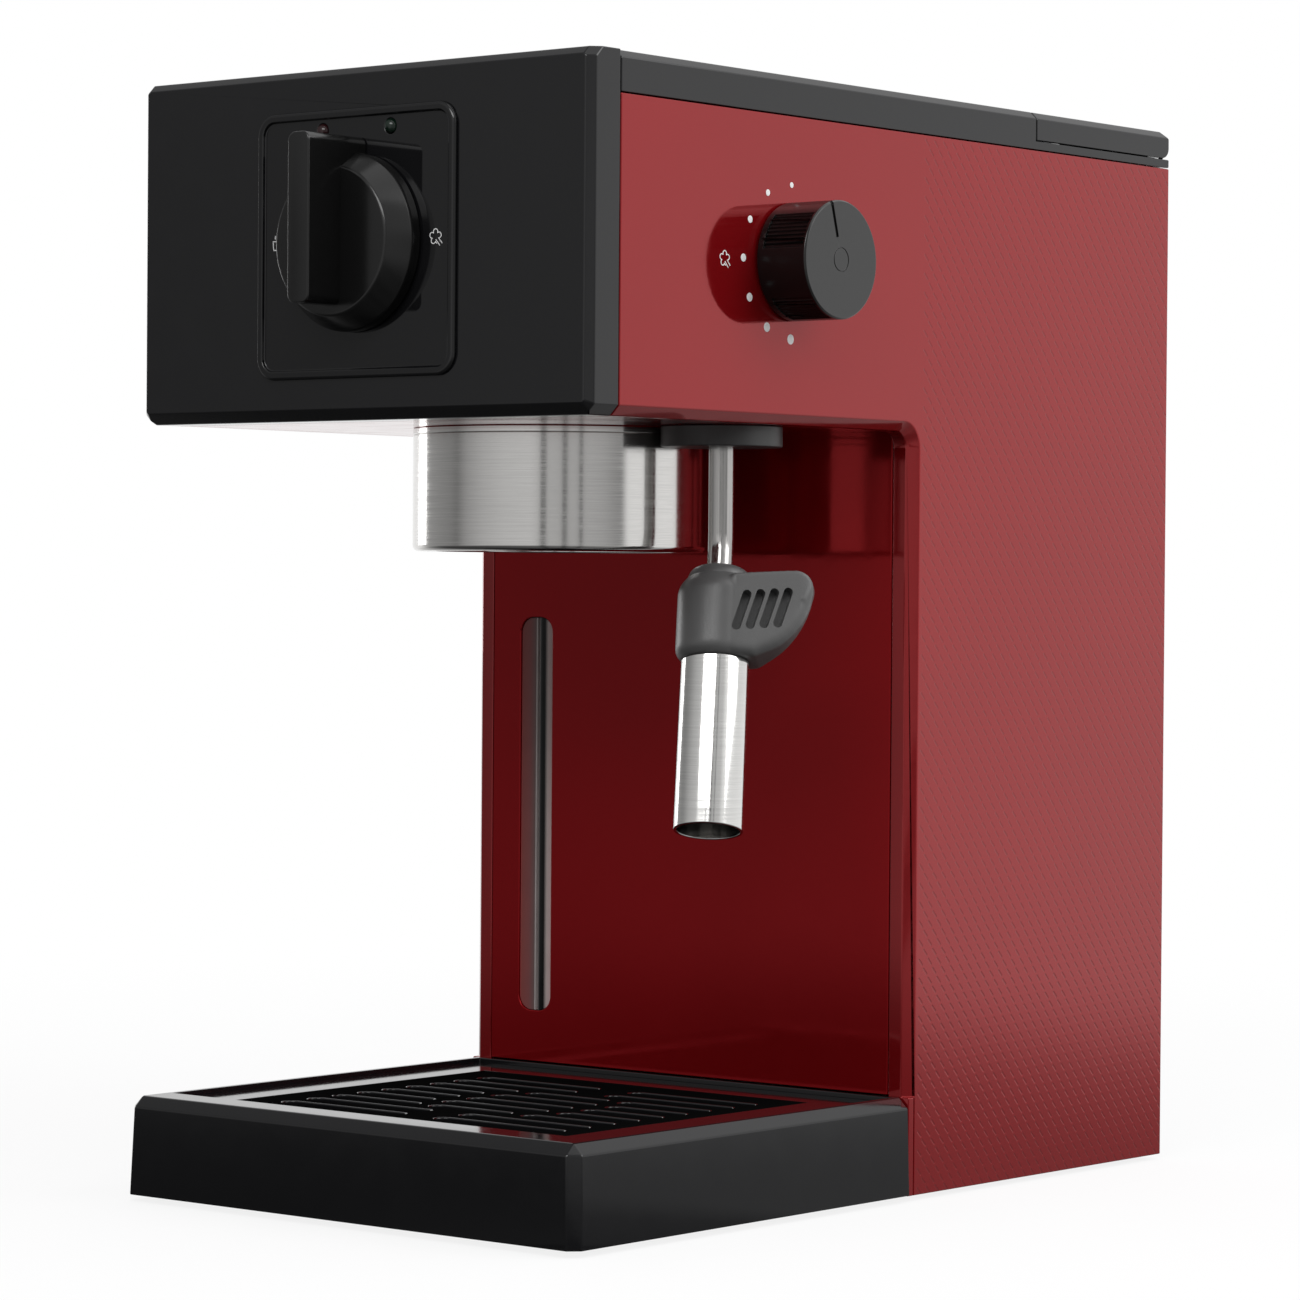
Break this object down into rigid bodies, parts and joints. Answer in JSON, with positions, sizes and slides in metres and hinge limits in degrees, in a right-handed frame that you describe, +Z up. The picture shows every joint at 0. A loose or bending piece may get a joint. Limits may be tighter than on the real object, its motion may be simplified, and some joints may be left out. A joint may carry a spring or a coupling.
{
  "type": "espresso machine",
  "caption": "Compact home espresso machine with an overhanging head, function dial, group, swivelling steam wand, pull-out drip tray and lift-out water tank.",
  "frame": {"origin": "on the ground, under the middle of the whole machine's box", "axes": "+Z up, +Y to the machine's back, +X to its right as seen from the front"},
  "size_m": [0.1762, 0.2862, 0.3015],
  "materials": {
    "red_gloss": "deep red high gloss",
    "black_gloss": "near-black high gloss",
    "black_satin": "black satin",
    "grip_grey": "dark grey fine texture",
    "stainless": "brushed stainless steel",
    "zinc_sheet": "zinc plated sheet",
    "plated_steel": "zinc plated",
    "brass": "turned brass",
    "boiler_alloy": "cast aluminium",
    "element_steel": "dark sheathed element",
    "rubber_black": "black rubber",
    "silicone": "translucent silicone",
    "black_plastic": "black moulded plastic",
    "grey_plastic": "grey moulded plastic",
    "tank_smoke": "smoked clear plastic",
    "window_smoke": "smoked clear plastic",
    "lamp_red": "red lens",
    "lamp_green": "green lens"
  },
  "bodies": {
    "casing": {"base_pan": "black_plastic", "rubber_feet": "rubber_black", "inner_chassis": "zinc_sheet", "left_side_panel": "red_gloss", "right_side_panel": "red_gloss", "front_fascia": "black_gloss", "dial_plate": "black_gloss", "top_cover": "black_gloss", "column_front_panel": "red_gloss", "level_window": "window_smoke", "sight_duct": "grey_plastic", "head_floor": "black_gloss", "rear_cover": "black_plastic", "casing_screws": "plated_steel", "cord_gland": "rubber_black", "terminal_block": "black_plastic", "selector_switch": "black_plastic", "power_lamp": "lamp_red", "ready_lamp": "lamp_green", "steam_valve_body": "brass", "steam_tube": "brass", "wand_feed_tube": "brass", "wand_flange": "black_satin", "wand_nut": "plated_steel", "collar_flange": "stainless", "group_collar": "stainless", "group_ring": "brass", "group_gasket": "rubber_black", "shower_screen": "stainless", "screen_screw": "plated_steel", "boiler_lower": "boiler_alloy", "boiler_seal": "silicone", "boiler_upper": "boiler_alloy", "boiler_bolts": "plated_steel", "heating_element": "element_steel", "thermostat": "black_plastic", "thermal_fuse": "grey_plastic", "pump_body": "grey_plastic", "pump_coil": "black_plastic", "pump_bracket": "zinc_sheet", "pump_mounts": "rubber_black", "suction_hose": "silicone", "pressure_tube": "brass", "tank_socket": "grey_plastic"},
    "function_dial": {"function_dial": "black_satin", "selector_shaft": "plated_steel"},
    "steam_knob": {"steam_knob": "black_satin", "steam_valve_spindle": "plated_steel"},
    "steam_wand": {"steam_pipe": "stainless", "wand_grip": "grip_grey", "steam_tip": "stainless"},
    "frother_sleeve": {"frother_sleeve": "stainless"},
    "drip_tray": {"drip_tray": "black_gloss"},
    "drip_grid": {"drip_grid": "black_satin"},
    "water_tank": {"water_tank": "tank_smoke", "tank_valve": "rubber_black", "lid_hinge_pin": "plated_steel"},
    "tank_lid": {"tank_lid": "black_gloss"}
  },
  "joints": [
    {"name": "dial_turn", "type": "hinge", "parent": "casing", "child": "function_dial", "pos_m": [-0.0078, -0.11935, 0.25565], "axis": [0, 1, 0], "range_deg": [-90, 90]},
    {"name": "steam_knob_turn", "type": "hinge", "parent": "casing", "child": "steam_knob", "pos_m": [0.0716, -0.03785, 0.2524], "axis": [1, 0, 0], "range_deg": [-16, 164]},
    {"name": "wand_swivel", "type": "hinge", "parent": "casing", "child": "steam_wand", "pos_m": [0.0488, -0.03785, 0.2098], "axis": [0, 0, 1], "range_deg": [-45, 75]},
    {"name": "sleeve_pull", "type": "slide", "parent": "steam_wand", "child": "frother_sleeve", "axis": [0.1638, -0.2621, -0.9511], "range_m": [0, 0.03]},
    {"name": "tray_pull", "type": "slide", "parent": "casing", "child": "drip_tray", "axis": [0, -1, 0], "range_m": [0, 0.142]},
    {"name": "grid_lift", "type": "slide", "parent": "drip_tray", "child": "drip_grid", "axis": [0, 0, 1], "range_m": [0, 0.04]},
    {"name": "tank_lift", "type": "slide", "parent": "casing", "child": "water_tank", "axis": [0, 0, 1], "range_m": [0, 0.28]},
    {"name": "lid_hinge", "type": "hinge", "parent": "water_tank", "child": "tank_lid", "pos_m": [-0.0078, 0.14015, 0.2966], "axis": [-1, 0, 0], "range_deg": [0, 90]}
  ]
}
